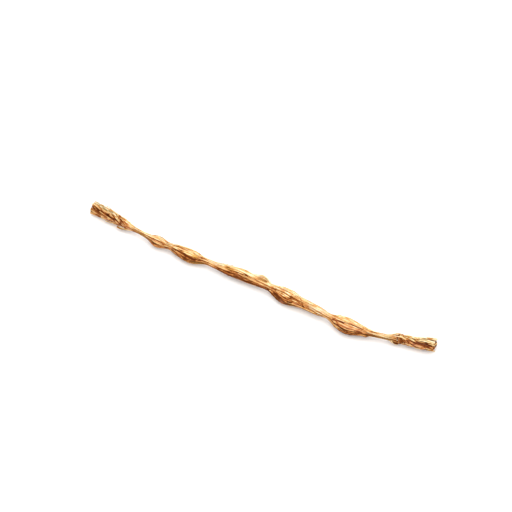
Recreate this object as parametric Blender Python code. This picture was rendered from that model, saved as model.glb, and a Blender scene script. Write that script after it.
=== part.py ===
"""A dried valerian root, lying on a table.

One knotty, ridged root, 150 mm long. It swells and narrows along its length, and each end is frayed into a blunt
brush of stiff fibres. +X runs along the root, +Z is up, and the origin is on the table under the middle of the
root. Every size below is in millimetres and turns to metres where a mesh is made.
"""

import math
import random

import bmesh
import bpy
from mathutils import Vector

MM = 0.001
NODE = "valerian_root"
UP = Vector((0.0, 0.0, 1.0))

# The root's line and thickness.
# A station is (x, swing, height, thickness): its place along the root, how far the bow has swung towards -Y,
# how high the middle of the root is over the table, and how thick the root is over its ridges.
LEFT_BRUSH = ((-75.0, 0.15, 2.6, 5.8), (-67.8, 0.8, 2.5, 4.9), (-60.0, 1.8, 2.6, 4.1))
LEFT_NECK = ((-56.6, 2.4, 2.6, 2.6), (-52.5, 2.9, 2.8, 1.9), (-48.8, 3.3, 2.8, 2.4))
FIRST_SWELLING = ((-44.4, 3.7, 2.7, 4.7), (-39.3, 3.7, 2.7, 2.8))
SECOND_SWELLING = ((-35.2, 3.8, 2.6, 4.5), (-29.9, 4.1, 2.5, 5.7), (-22.4, 3.8, 2.7, 2.6), (-18.8, 3.9, 2.8, 2.9))
LONG_SWELLING = ((-14.0, 3.75, 2.9, 4.2), (-7.5, 3.4, 3.0, 4.9), (-1.0, 3.8, 3.0, 3.7), (3.6, 4.0, 3.0, 3.0))
THIRD_SWELLING = ((7.6, 4.3, 2.9, 4.9), (12.6, 4.7, 2.8, 6.4), (18.4, 5.0, 3.0, 4.2))
LOWER_STRETCH = ((25.0, 5.5, 3.1, 3.8), (30.5, 5.9, 3.0, 2.5))
FOURTH_SWELLING = ((34.8, 6.4, 2.9, 5.4), (38.6, 6.7, 2.9, 6.7), (44.3, 6.25, 2.9, 4.6))
RIGHT_NECK = ((49.0, 5.7, 2.9, 2.7), (53.4, 4.9, 2.8, 2.3), (56.0, 4.2, 2.7, 2.7))
RIGHT_BRUSH = ((59.8, 3.0, 2.6, 4.5), (66.0, 1.9, 2.6, 4.6), (70.8, 0.5, 2.7, 5.7), (75.0, -0.6, 2.9, 6.2))
STATIONS = (
    LEFT_BRUSH
    + LEFT_NECK
    + FIRST_SWELLING
    + SECOND_SWELLING
    + LONG_SWELLING
    + THIRD_SWELLING
    + LOWER_STRETCH
    + FOURTH_SWELLING
    + RIGHT_NECK
    + RIGHT_BRUSH
)
MIDDLE = (-0.27, 3.43)  # the x, and the swing, that the middle of the root's box has

# The ridges that run along the root, and the slow turn that they make round it, as (x, degrees).
RIDGES = 10
COLUMNS_IN_RIDGE = 4
RIDGE_DEPTH = 0.22  # from crest to valley, of the root's radius
RIDGE_WAVES = (9.0, 17.0)  # the shortest and longest wave in a ridge's strength
RIDGE_STRENGTH = (0.30, 1.00)  # a ridge's depth where it is faintest and where it is boldest
WAVE_SPREAD = 0.618  # how far apart the ridges' waves are in length, and in where they start
WAVE_SHIFT = 3.0
TURN = ((-75.0, -62.0), (-56.0, 0.0), (52.0, 62.0), (75.0, 150.0))
RING_STEP = 1.75
CORE_RING_STEP = 3.5
SLOPE_STEP = 0.5  # how far to each side the root's direction is measured

# Folds and bumps in the skin. Angles go round the root from straight up, towards -Y.
# A fold is (x, angle) at its two ends, then its half-width and its depth.
FOLDS = (
    ((-47.5, 50.0), (-40.5, 22.0), 0.55, 0.30),
    ((-37.0, 75.0), (-25.0, 35.0), 0.60, 0.28),
    ((-16.0, 55.0), (1.0, 85.0), 0.60, 0.30),
    ((7.5, 62.0), (19.0, 50.0), 0.65, 0.40),
    ((16.6, -50.0), (18.8, 95.0), 0.50, 0.35),
    ((32.3, 31.0), (47.0, 10.0), 0.45, 0.50),
)
# A bump is (x, angle), then its half-length, its half-width and its height.
BUMPS = (
    ((-41.2, 30.0), 1.2, 0.9, 0.35),
    ((0.9, -58.0), 2.7, 1.0, 1.25),
    ((10.0, 110.0), 3.0, 1.5, 0.40),
    ((46.8, 114.0), 1.0, 0.7, 0.65),
)

# The brushes: stiff fibres that leave the neck together and end in a blunt, ragged cut.
OUTER_FIBRES = 12
INNER_FIBRES = 4
FIBRE_THICKNESS = 0.95
FIBRE_POINTS = 6
INNER_RING = 0.36  # of the brush's radius
INNER_SHIFT = 0.4  # of a step between fibres, so that the inner ones stand in the gaps
UNEVEN_STEP = 0.12  # how far a fibre stands off its even place, of a step
UNEVEN_THICKNESS = (0.88, 1.08)
FIBRE_START = 2.0  # how far past the foot a fibre starts, inside the neck
START_SHARE = 0.45  # of its distance from the middle, where a fibre starts
RISE_SHARE = 0.3  # of its length, where it has reached its full distance
START_THICKNESS = 0.8  # of its full thickness, where it starts
RAGGED = 1.3  # the most that a fibre stops short of the cut
CORE_SHARE = 0.66  # of the brush's radius that holds together as one core
CORE_SHORT = 3.2  # how far the core stops short of the cut
BRUSH_FEET = (-57.0, 58.0)  # where the fibres come out of the neck
BRUSH_CUTS = (-75.0, 73.9)
FOOT_BLEND = 5.0  # the length over which the root thins from its full width to the core
FIBRE_SEEDS = (11, 23)

# Loose fibres that curl over the root. Each point is (x, angle, share of the root's radius, millimetres more).
STRAY_CURL = ((-54.5, 100.0, 0.2, 0.0), (-57.0, 106.0, 0.8, 0.1), (-59.2, 108.0, 1.0, 0.2), (-61.2, 110.0, 1.0, 0.6))
ARCHED_FIBRE = (
    (-4.8, -54.0, 0.7, 0.0),
    (-2.0, -57.0, 1.0, 0.5),
    (-0.2, -58.0, 1.0, 1.3),
    (1.4, -58.0, 1.0, 1.35),
    (2.8, -58.0, 1.0, 1.0),
    (4.6, -58.0, 0.8, 0.0),
)
KNOT_CURL = (
    (55.2, 96.0, 0.2, 0.0),
    (56.5, 106.0, 1.0, 0.0),
    (57.6, 114.0, 1.0, 0.2),
    (58.7, 116.0, 1.0, 0.1),
    (59.5, 104.0, 0.7, 0.0),
)
CURL_THICKNESS = 0.85
CURL_TAPER = 0.15  # how much thinner a loose fibre is at its tip

# Fibres wound round the foot of the right brush. A wrap is (x, angle) where it starts and where it ends.
WRAPS = (
    ((56.3, -160.0), (59.3, 105.0)),
    ((57.6, -60.0), (60.8, 170.0)),
    ((61.0, -130.0), (57.2, 90.0)),
)
WRAP_POINTS = 8
WRAP_SINK = 0.85  # of the root's radius, where a wrap stands out most
WRAP_THICKNESS = 1.25

WELD = 0.001  # points nearer to each other than this become one

COLOUR = (0.62, 0.34, 0.13, 1.0)
ROUGHNESS = 0.75
SHARP_FROM = 40.0  # degrees between two faces that meet in a sharp edge


def clear_scene():
    for thing in list(bpy.data.objects):
        bpy.data.objects.remove(thing, do_unlink=True)


def slopes(xs, values):
    """The slope of the curve at each of its points, level at every peak and dip so that it never overshoots."""
    rises = [(b - a) / (q - p) for a, b, p, q in zip(values, values[1:], xs, xs[1:])]
    inner = [2.0 * a * b / (a + b) if a * b > 0.0 else 0.0 for a, b in zip(rises, rises[1:])]
    return [rises[0], *inner, rises[-1]]


def curve_through(points, column):
    """A function of x that passes smoothly through one column of the points."""
    xs = [point[0] for point in points]
    values = [point[column] for point in points]
    tangents = slopes(xs, values)

    def value_at(x):
        i = max(0, min(len(xs) - 2, sum(x >= other for other in xs) - 1))
        width = xs[i + 1] - xs[i]
        t = min(1.0, max(0.0, (x - xs[i]) / width))
        start = (1.0 + 2.0 * t) * (1.0 - t) ** 2 * values[i] + t * (1.0 - t) ** 2 * width * tangents[i]
        end = t * t * (3.0 - 2.0 * t) * values[i + 1] - t * t * (1.0 - t) * width * tangents[i + 1]
        return start + end

    return value_at


swing_at = curve_through(STATIONS, 1)
height_at = curve_through(STATIONS, 2)
thickness_at = curve_through(STATIONS, 3)
turn_at = curve_through(TURN, 1)


def middle_at(x):
    return Vector((x - MIDDLE[0], MIDDLE[1] - swing_at(x), height_at(x)))


def across_at(x):
    """The two directions across the root: to its side, which is -Y, and up."""
    along = (middle_at(x + SLOPE_STEP) - middle_at(x - SLOPE_STEP)).normalized()
    side = along.cross(UP).normalized()
    return side, side.cross(along)


def point_at(x, angle, radius):
    side, up = across_at(x)
    return middle_at(x) + radius * (math.sin(angle) * side + math.cos(angle) * up)


def fade(x, start, end):
    """0 at start and 1 at end, easing in and out."""
    t = min(1.0, max(0.0, (x - start) / (end - start)))
    return t * t * (3.0 - 2.0 * t)


def angle_between(a, b):
    return (a - b + math.pi) % (2.0 * math.pi) - math.pi


def fold_depth(x, angle, radius):
    depth = 0.0
    for (start, from_angle), (end, to_angle), half_width, most in FOLDS:
        share = (x - start) / (end - start)
        if 0.0 < share < 1.0:
            middle = math.radians(from_angle + share * (to_angle - from_angle))
            off = radius * angle_between(angle, middle) / half_width
            depth += most * math.sin(math.pi * share) ** 0.5 * math.exp(-off * off)
    return depth


def bump_height(x, angle, radius):
    height = 0.0
    for (place, middle), half_length, half_width, most in BUMPS:
        along = (x - place) / half_length
        round_it = radius * angle_between(angle, math.radians(middle)) / half_width
        height += most * math.exp(-along * along - round_it * round_it)
    return height


def ridge_strengths(x):
    """How strongly each ridge stands out at x. Each ridge has a wave of its own length."""
    shortest, longest = RIDGE_WAVES
    faint, bold = RIDGE_STRENGTH
    strengths = []
    for ridge in range(RIDGES):
        share = (ridge + 1) * WAVE_SPREAD % 1.0
        length = shortest + share * (longest - shortest)
        swell = 0.5 + 0.5 * math.sin(2.0 * math.pi * (x / length + share * WAVE_SHIFT))
        strengths.append(faint + swell * (bold - faint))
    return strengths


def core_share(x):
    """All of the root's radius between the brushes, and only the core's share inside them."""
    left = fade(x, BRUSH_FEET[0] - FOOT_BLEND, BRUSH_FEET[0])
    right = 1.0 - fade(x, BRUSH_FEET[1], BRUSH_FEET[1] + FOOT_BLEND)
    return CORE_SHARE + (1.0 - CORE_SHARE) * min(left, right)


def ring_points(x):
    """One ring of the root's skin, with a column of points on each ridge, in each valley and on both slopes."""
    columns = RIDGES * COLUMNS_IN_RIDGE
    radius = 0.5 * thickness_at(x) * core_share(x)
    strengths = ridge_strengths(x)
    turned = math.radians(turn_at(x))
    points = []
    for column in range(columns):
        angle = 2.0 * math.pi * column / columns + turned
        wave = math.cos(2.0 * math.pi * column / COLUMNS_IN_RIDGE)
        valley = 0.5 * (1.0 - wave) * radius * RIDGE_DEPTH * strengths[column // COLUMNS_IN_RIDGE]
        reach = radius - valley - fold_depth(x, angle, radius) + bump_height(x, angle, radius)
        points.append(MM * point_at(x, angle, reach))
    return points


def ring_places():
    """Where the rings are: close together on the open root, and further apart inside the brushes."""
    core_ends = (BRUSH_CUTS[0] + CORE_SHORT, BRUSH_CUTS[1] - CORE_SHORT)
    open_ends = (BRUSH_FEET[0] - FOOT_BLEND, BRUSH_FEET[1] + FOOT_BLEND)
    stops = (core_ends[0], *open_ends, core_ends[1])
    places = [stops[0]]
    for start, end, step in zip(stops, stops[1:], (CORE_RING_STEP, RING_STEP, CORE_RING_STEP)):
        count = max(1, round((end - start) / step))
        places += [start + (end - start) * (i + 1) / count for i in range(count)]
    return places


def make_body():
    """The root without its fibres, as rings of points along its line, closed at both ends."""
    places = ring_places()
    shape = bmesh.new()
    rings = [[shape.verts.new(point) for point in ring_points(x)] for x in places]
    count = len(rings[0])
    for near, far in zip(rings, rings[1:]):
        for i in range(count):
            j = (i + 1) % count
            shape.faces.new((near[i], near[j], far[j], far[i]))
    for x, ring in ((places[0], rings[0]), (places[-1], rings[-1])):
        pole = shape.verts.new(MM * middle_at(x))
        for i in range(count):
            shape.faces.new((pole, ring[i], ring[(i + 1) % count]))
    bmesh.ops.recalc_face_normals(shape, faces=shape.faces)
    mesh = bpy.data.meshes.new(NODE)
    shape.to_mesh(mesh)
    shape.free()
    body = bpy.data.objects.new(NODE, mesh)
    bpy.context.scene.collection.objects.link(body)
    return body


def add_fibre(home, points, thicknesses):
    """One six-sided fibre along the points, with flat ends."""
    curve = bpy.data.curves.new("fibre", "CURVE")
    curve.dimensions = "3D"
    curve.bevel_depth = MM
    curve.bevel_resolution = 1
    curve.use_fill_caps = True
    spline = curve.splines.new("POLY")
    spline.points.add(len(points) - 1)
    for knot, point, thickness in zip(spline.points, points, thicknesses):
        knot.co = (*(MM * point), 1.0)
        knot.radius = 0.5 * thickness
    guide = bpy.data.objects.new("fibre_guide", curve)
    bpy.context.scene.collection.objects.link(guide)
    bpy.context.view_layer.update()
    mesh = bpy.data.meshes.new_from_object(guide.evaluated_get(bpy.context.evaluated_depsgraph_get()))
    bpy.data.objects.remove(guide, do_unlink=True)
    home.objects.link(bpy.data.objects.new("fibre", mesh))


def add_brush(home, foot, cut, seed):
    """The fibres of one brush. Each starts inside the neck, and the bundle fills the root's width at the cut."""
    draw = random.Random(seed)
    inward = math.copysign(1.0, foot - cut)
    start = foot + inward * FIBRE_START
    thin_start = [START_THICKNESS + (1.0 - START_THICKNESS) * fade(i, 0, 2) for i in range(FIBRE_POINTS)]
    rings = [(OUTER_FIBRES, 1.0, 0.0), (INNER_FIBRES, INNER_RING, INNER_SHIFT)]
    for count, ring, shift in rings:
        for number in range(count):
            uneven = draw.uniform(-UNEVEN_STEP, UNEVEN_STEP)
            first_angle = 2.0 * math.pi * (number + shift + uneven) / count
            # The first fibre of a ring reaches the cut, so that the root keeps its full length.
            end = cut + inward * draw.uniform(0.0, RAGGED) * (number > 0)
            thickness = FIBRE_THICKNESS * draw.uniform(*UNEVEN_THICKNESS)
            points = []
            for step in range(FIBRE_POINTS):
                share = step / (FIBRE_POINTS - 1)
                x = start + share * (end - start)
                out = 0.5 * (thickness_at(x) - thickness) if ring == 1.0 else 0.5 * thickness_at(x) * ring
                out *= START_SHARE + (1.0 - START_SHARE) * fade(share, 0.0, RISE_SHARE)
                points.append(point_at(x, first_angle + math.radians(turn_at(x)), out))
            add_fibre(home, points, [thickness * part for part in thin_start])


def add_curl(home, places, thickness):
    """One loose fibre through a few places given as (x, angle, share of the radius, millimetres more)."""
    points = []
    for x, angle, share, more in places:
        points.append(point_at(x, math.radians(angle), 0.5 * thickness_at(x) * share + more))
    last = len(points) - 1
    add_fibre(home, points, [thickness * (1.0 - CURL_TAPER * i / last) for i in range(len(points))])


def add_wrap(home, start, end):
    """A fibre wound part of the way round the neck, sunk into it at both ends."""
    places = []
    for i in range(WRAP_POINTS):
        share = i / (WRAP_POINTS - 1)
        x = start[0] + share * (end[0] - start[0])
        angle = start[1] + share * (end[1] - start[1])
        places.append((x, angle, WRAP_SINK * (0.5 + 0.5 * math.sin(math.pi * share) ** 0.5), 0.0))
    add_curl(home, places, WRAP_THICKNESS)


def apply_modifiers(thing):
    bpy.context.view_layer.update()
    graph = bpy.context.evaluated_depsgraph_get()
    mesh = bpy.data.meshes.new_from_object(thing.evaluated_get(graph))
    thing.modifiers.clear()
    thing.data = mesh


def fuse(body, home):
    """Joins the root and its fibres into one closed skin, and removes the fibres' own objects."""
    union = body.modifiers.new("fuse_fibres", "BOOLEAN")
    union.operation = "UNION"
    union.operand_type = "COLLECTION"
    union.collection = home
    union.solver = "EXACT"
    apply_modifiers(body)
    for thing in list(home.objects):
        bpy.data.objects.remove(thing, do_unlink=True)
    bpy.data.collections.remove(home)


def rest_on_table(body):
    """Cuts off what would reach under the table, which leaves a small flat spot on each low swelling."""
    shape = bmesh.new()
    shape.from_mesh(body.data)
    everything = shape.verts[:] + shape.edges[:] + shape.faces[:]
    cut = bmesh.ops.bisect_plane(shape, geom=everything, plane_co=(0, 0, 0), plane_no=UP, clear_inner=True)
    rim = [part for part in cut["geom_cut"] if isinstance(part, bmesh.types.BMEdge)]
    bmesh.ops.contextual_create(shape, geom=rim)
    bmesh.ops.triangulate(shape, faces=shape.faces)
    shape.to_mesh(body.data)
    shape.free()


def keep_one_piece(body):
    """Drops loose scraps and fills sealed hollows, by keeping only the skin that most of the faces belong to.

    Skins that only touch along an edge count as separate, so the walk goes over edges with two faces alone.
    """
    shape = bmesh.new()
    shape.from_mesh(body.data)
    bmesh.ops.remove_doubles(shape, verts=shape.verts, dist=MM * WELD)
    unseen = set(shape.faces)
    pieces = []
    while unseen:
        piece = {unseen.pop()}
        waiting = list(piece)
        while waiting:
            for edge in waiting.pop().edges:
                if len(edge.link_faces) == 2:
                    found = unseen.intersection(edge.link_faces)
                    unseen -= found
                    piece |= found
                    waiting += found
        pieces.append(piece)
    pieces.sort(key=len)
    for piece in pieces[:-1]:
        bmesh.ops.delete(shape, geom=list(piece), context="FACES")
    shape.to_mesh(body.data)
    shape.free()


def add_material(body):
    """Dry root skin: straw to orange-brown, dull."""
    material = bpy.data.materials.new("dried_root")
    material.use_nodes = True
    shader = material.node_tree.nodes["Principled BSDF"]
    shader.inputs["Base Color"].default_value = COLOUR
    shader.inputs["Roughness"].default_value = ROUGHNESS
    shader.inputs["Metallic"].default_value = 0.0
    body.data.materials.clear()
    body.data.materials.append(material)


def make_root():
    body = make_body()
    fibres = bpy.data.collections.new("fibres")
    bpy.context.scene.collection.children.link(fibres)
    for foot, cut, seed in zip(BRUSH_FEET, BRUSH_CUTS, FIBRE_SEEDS):
        add_brush(fibres, foot, cut, seed)
    for curl in (STRAY_CURL, ARCHED_FIBRE, KNOT_CURL):
        add_curl(fibres, curl, CURL_THICKNESS)
    for start, end in WRAPS:
        add_wrap(fibres, start, end)
    fuse(body, fibres)
    rest_on_table(body)
    keep_one_piece(body)
    add_material(body)
    body.data.shade_smooth()
    body.data.set_sharp_from_angle(angle=math.radians(SHARP_FROM))
    return body


clear_scene()
make_root()
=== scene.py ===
# %% [markdown]
# # A dried valerian root
#
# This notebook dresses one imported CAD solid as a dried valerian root: a thin, knotty root that swells and
# narrows, with strands of fibre along it and a blunt brush of stiff fibres at each end. The solid gives the
# size and the place of everything. Blender adds the fine ridges, the fibres, the colour and the light.

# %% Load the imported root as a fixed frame
import math
from functools import partial

import bpy
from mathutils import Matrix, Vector


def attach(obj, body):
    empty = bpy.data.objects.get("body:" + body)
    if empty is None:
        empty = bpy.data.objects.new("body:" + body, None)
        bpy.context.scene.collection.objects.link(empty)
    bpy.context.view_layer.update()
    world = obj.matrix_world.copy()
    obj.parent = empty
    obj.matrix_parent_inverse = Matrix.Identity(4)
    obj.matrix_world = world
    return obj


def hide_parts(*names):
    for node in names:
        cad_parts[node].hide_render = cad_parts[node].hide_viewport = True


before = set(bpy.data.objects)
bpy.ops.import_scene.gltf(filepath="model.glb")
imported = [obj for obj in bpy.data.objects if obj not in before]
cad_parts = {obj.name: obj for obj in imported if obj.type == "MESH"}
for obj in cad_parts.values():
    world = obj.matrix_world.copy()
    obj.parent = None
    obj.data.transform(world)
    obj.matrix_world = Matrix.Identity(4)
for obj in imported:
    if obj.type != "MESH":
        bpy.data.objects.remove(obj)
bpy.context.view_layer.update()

NODE = "valerian_root"
MM = 0.001
print("nodes:", sorted(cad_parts))

# %% [markdown]
# ## The camera
#
# The root is seen from high up and a little from the side, with the camera far away, so both ends look the
# same size. A long lens does that. The camera is set from two angles and from how many millimetres one pixel
# covers, because those are easy to measure in a picture of a known object. Turning it with `to_track_quat`
# keeps the horizon level.

# %% Set the camera
def add_object(name, data):
    thing = bpy.data.objects.new(name, data)
    bpy.context.scene.collection.objects.link(thing)
    return thing


AZIMUTH = math.radians(25.13)
ELEVATION = math.radians(60.0)
FRAME_PIXELS = 512
PIXEL = 0.1466 / 374.55  # metres in one pixel, at the root
DISTANCE = 1.5
SENSOR = 36.0
NEAREST = 0.05
ROOT_MIDDLE = Vector((0.00027, 0.00334, 0.0026))
AIM_LEFT = 8.0  # how many pixels the picture's middle lies left of the root's middle, and how many above it
AIM_UP = 20.0

right = Vector((math.cos(AZIMUTH), math.sin(AZIMUTH), 0.0))
back = Vector((
    math.sin(AZIMUTH) * math.cos(ELEVATION),
    -math.cos(AZIMUTH) * math.cos(ELEVATION),
    math.sin(ELEVATION),
))
above = back.cross(right)
aim = ROOT_MIDDLE - right * AIM_LEFT * PIXEL + above * AIM_UP * PIXEL

camera = add_object("camera", bpy.data.cameras.new("camera"))
camera.data.sensor_width = SENSOR
camera.data.lens = SENSOR * DISTANCE / (FRAME_PIXELS * PIXEL)
camera.data.clip_start = NEAREST
camera.location = aim + back * DISTANCE
camera.rotation_euler = back.to_track_quat("Z", "Y").to_euler()
bpy.context.scene.camera = camera
print("lens in mm:", round(camera.data.lens, 1))

# %% [markdown]
# ## Floor and light
#
# A pale table and soft studio light show a small dry object well. Large area lights give soft shadows, and a
# pale world fills them, so that the dark grooves keep some colour. A lamp of over a metre is huge next to
# the root, and that is what makes its light soft.

# %% Lay the floor and hang the lights
FLOOR_HALF = 4.0
FLOOR_HEIGHT = -0.02 * MM
PAPER = {"Base Color": (0.95, 0.95, 0.945, 1.0), "Roughness": 0.9, "Specular IOR Level": 0.1}
ROOM = {"Color": (1.0, 1.0, 1.0, 1.0), "Strength": 1.12}


def set_inputs(tree, node, values):
    for name, value in values.items():
        tree.nodes[node].inputs[name].default_value = value


def start_material(name):
    material = bpy.data.materials.new(name)
    material.use_nodes = True
    return material, material.node_tree


def make_floor():
    mesh = bpy.data.meshes.new("floor")
    corners = ((-1, -1), (1, -1), (1, 1), (-1, 1))
    mesh.from_pydata([(x * FLOOR_HALF, y * FLOOR_HALF, FLOOR_HEIGHT) for x, y in corners], [], [(0, 1, 2, 3)])
    paper, tree = start_material("pale_paper")
    set_inputs(tree, "Principled BSDF", PAPER)
    mesh.materials.append(paper)
    floor = add_object("floor", mesh)


def hang_light(name, place, size, power, colour):
    lamp = bpy.data.lights.new(name, "AREA")
    lamp.shape = "SQUARE"
    lamp.size = size
    lamp.energy = power
    lamp.color = colour
    light = add_object(name, lamp)
    light.location = place
    light.rotation_euler = Vector(place).to_track_quat("Z", "Y").to_euler()


make_floor()
hang_light("key_light", place=(-0.12, 0.28, 1.00), size=1.30, power=8.4, colour=(1.0, 0.985, 0.96))
hang_light("fill_light", place=(0.65, -0.55, 0.60), size=0.80, power=0.5, colour=(1.0, 0.99, 0.98))

world = bpy.data.worlds.new("pale_room")
world.use_nodes = True
set_inputs(world.node_tree, "Background", ROOM)
bpy.context.scene.world = world
bpy.context.scene.view_settings.view_transform = "Standard"

# %% [markdown]
# ## The root's line
#
# Everything on this root follows its line: the skin, the ridges, the fibres. So the line comes first, as a
# chain of points with values on each: how thick the root is there, how far its ridges have turned, and which
# way is up. The sizes are the ones that the CAD solid was made from, in millimetres. A smooth curve runs
# through them that never overshoots a swelling or a neck.

# %% Where the root runs, and how thick it is
# A station is (x, swing, height, thickness): its place along the root, how far the bow has swung towards -Y,
# how high the middle of the root is over the table, and how thick the root is over its ridges.
STATIONS = (
    # The left brush and the left neck.
    (-75.0, 0.15, 2.6, 5.8), (-67.8, 0.8, 2.5, 4.9), (-60.0, 1.8, 2.6, 4.1),
    (-56.6, 2.4, 2.6, 2.6), (-52.5, 2.9, 2.8, 1.9), (-48.8, 3.3, 2.8, 2.4),
    # The first swelling, the second and the long one.
    (-44.4, 3.7, 2.7, 4.7), (-39.3, 3.7, 2.7, 2.8),
    (-35.2, 3.8, 2.6, 4.5), (-29.9, 4.1, 2.5, 5.7), (-22.4, 3.8, 2.7, 2.6), (-18.8, 3.9, 2.8, 2.9),
    (-14.0, 3.75, 2.9, 4.2), (-7.5, 3.4, 3.0, 4.9), (-1.0, 3.8, 3.0, 3.7), (3.6, 4.0, 3.0, 3.0),
    # The third swelling, the straight stretch and the fourth swelling.
    (7.6, 4.3, 2.9, 4.9), (12.6, 4.7, 2.8, 6.4), (18.4, 5.0, 3.0, 4.2),
    (25.0, 5.5, 3.1, 3.8), (30.5, 5.9, 3.0, 2.5),
    (34.8, 6.4, 2.9, 5.4), (38.6, 6.7, 2.9, 6.7), (44.3, 6.25, 2.9, 4.6),
    # The right neck and the right brush.
    (49.0, 5.7, 2.9, 2.7), (53.4, 4.9, 2.8, 2.3), (56.0, 4.2, 2.7, 2.7),
    (59.8, 3.0, 2.6, 4.5), (66.0, 1.9, 2.6, 4.6), (70.8, 0.5, 2.7, 5.7), (75.0, -0.6, 2.9, 6.2),
)
TURN = ((-75.0, -62.0), (-56.0, 0.0), (52.0, 62.0), (75.0, 150.0))  # (x, degrees)
MIDDLE = (-0.27, 3.43)  # the x, and the swing, that the middle of the root's box has
UP = Vector((0.0, 0.0, 1.0))


def slopes(xs, values):
    """The curve's slope at each point. It is level at every peak and dip, so it never overshoots."""
    rises = [(b - a) / (q - p) for a, b, p, q in zip(values, values[1:], xs, xs[1:])]
    inner = [2.0 * a * b / (a + b) if a * b > 0.0 else 0.0 for a, b in zip(rises, rises[1:])]
    return [rises[0], *inner, rises[-1]]


def curve_through(points, column):
    """A function of x that passes smoothly through one column of the points."""
    xs = [point[0] for point in points]
    values = [point[column] for point in points]
    tangents = slopes(xs, values)

    def value_at(x):
        i = max(0, min(len(xs) - 2, sum(x >= other for other in xs) - 1))
        width = xs[i + 1] - xs[i]
        t = min(1.0, max(0.0, (x - xs[i]) / width))
        start = (1.0 + 2.0 * t) * (1.0 - t) ** 2 * values[i] + t * (1.0 - t) ** 2 * width * tangents[i]
        end = t * t * (3.0 - 2.0 * t) * values[i + 1] - t * t * (1.0 - t) * width * tangents[i + 1]
        return start + end

    return value_at


swing_at = curve_through(STATIONS, 1)
height_at = curve_through(STATIONS, 2)
thickness_at = curve_through(STATIONS, 3)
turn_at = curve_through(TURN, 1)
print("thinnest and thickest in mm:", min(s[3] for s in STATIONS), max(s[3] for s in STATIONS))

# %% Directions on the root, and how much of it holds together inside the brushes
SLOPE_STEP = 0.5
CORE_SHARE = 0.66
CORE_ENDS = (-71.8, 70.7)
FEET = (-57.0, 58.0)
CUTS = (-75.0, 73.9)
FOOT_BLEND = 5.0


def middle_at(x):
    return Vector((x - MIDDLE[0], MIDDLE[1] - swing_at(x), height_at(x)))


def across_at(x):
    """The two directions across the root: to its side, which is -Y, and up."""
    along = (middle_at(x + SLOPE_STEP) - middle_at(x - SLOPE_STEP)).normalized()
    side = along.cross(UP).normalized()
    return side, side.cross(along)


def point_at(x, degrees, radius):
    side, up = across_at(x)
    angle = math.radians(degrees)
    return middle_at(x) + radius * (math.sin(angle) * side + math.cos(angle) * up)


def fade(x, start, end):
    """0 at start and 1 at end, easing in and out."""
    t = min(1.0, max(0.0, (x - start) / (end - start)))
    return t * t * (3.0 - 2.0 * t)


def core_share(x):
    left = fade(x, FEET[0] - FOOT_BLEND, FEET[0])
    right_side = 1.0 - fade(x, FEET[1], FEET[1] + FOOT_BLEND)
    return CORE_SHARE + (1.0 - CORE_SHARE) * min(left, right_side)


print("core left inside a brush:", core_share(70.0))

# %% Make the line as a chain of points that carry values
LINE_STEP = 0.3
LINE_START = -76.2
LINE_POINTS = 509


def add_values(mesh, **values):
    """Puts values on the points of a mesh, numbers or vectors, each under its name."""
    for name, column in values.items():
        if isinstance(column[0], Vector):
            flat = [number for vector in column for number in vector]
            mesh.attributes.new(name, "FLOAT_VECTOR", "POINT").data.foreach_set("vector", flat)
        else:
            mesh.attributes.new(name, "FLOAT", "POINT").data.foreach_set("value", column)


def make_root_line():
    places = [LINE_START + LINE_STEP * i for i in range(LINE_POINTS)]
    middles = [middle_at(x) for x in places]
    sides, ups = zip(*(across_at(x) for x in places))
    line = bpy.data.meshes.new("root_line")
    line.from_pydata([MM * middle for middle in middles], [(i, i + 1) for i in range(LINE_POINTS - 1)], [])
    add_values(
        line,
        along=places,
        half_thickness=[0.5 * thickness_at(x) for x in places],
        core=[core_share(x) for x in places],
        turn=[math.radians(turn_at(x)) for x in places],
        middle=middles,
        side=sides,
        up=ups,
    )
    return line


root_line = make_root_line()
print("points on the line:", len(root_line.vertices), "values:", sorted(a.name for a in root_line.attributes))

# %% [markdown]
# ## Formulas as nodes
#
# Geometry Nodes and materials both do arithmetic with Math nodes, one for each sum. Built by hand in a
# script they fill pages. So here is a small helper: a `Wire` is the output of a node, and adding or
# multiplying two wires makes the Math node that does it. A formula in the script then reads as it would on
# paper, and it still ends up as ordinary nodes that can be opened and changed.

# %% A wire that can be added and multiplied
class Wire:
    """The output of one node, for formulas."""

    def __init__(self, tree, socket):
        self.tree = tree
        self.socket = socket

    def __add__(self, other):
        return calculate("ADD", self, other)

    def __sub__(self, other):
        return calculate("SUBTRACT", self, other)

    def __rsub__(self, other):
        return calculate("SUBTRACT", other, self)

    def __mul__(self, other):
        return calculate("MULTIPLY", self, other)

    def __truediv__(self, other):
        return calculate("DIVIDE", self, other)

    def __pow__(self, other):
        return calculate("POWER", self, other)

    __radd__ = __add__
    __rmul__ = __mul__


def put(socket, value):
    """Links a wire to a socket, or sets the socket to a plain value."""
    if isinstance(value, Wire):
        value.tree.links.new(value.socket, socket)
    else:
        socket.default_value = value


def is_vector(value):
    return isinstance(value, Wire) and value.socket.type == "VECTOR"


def tree_of(*values):
    return next(value.tree for value in values if isinstance(value, Wire))


def calculate(operation, *values):
    """One Math node, or one Vector Math node where a value is a vector."""
    tree = tree_of(*values)
    vectors = [is_vector(value) for value in values]
    node = tree.nodes.new("ShaderNodeVectorMath" if any(vectors) else "ShaderNodeMath")
    node.operation = operation
    sockets = node.inputs
    if any(vectors) and not all(vectors):
        node.operation = "SCALE"
        sockets = (node.inputs[0], node.inputs["Scale"])
        values = sorted(values, key=is_vector, reverse=True)
    for socket, value in zip(sockets, values):
        put(socket, value)
    return Wire(tree, node.outputs[0])


def usable(sockets, name):
    """The socket of that name that the node's settings leave in use."""
    return next(socket for socket in sockets if socket.name == name and socket.enabled)


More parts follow.
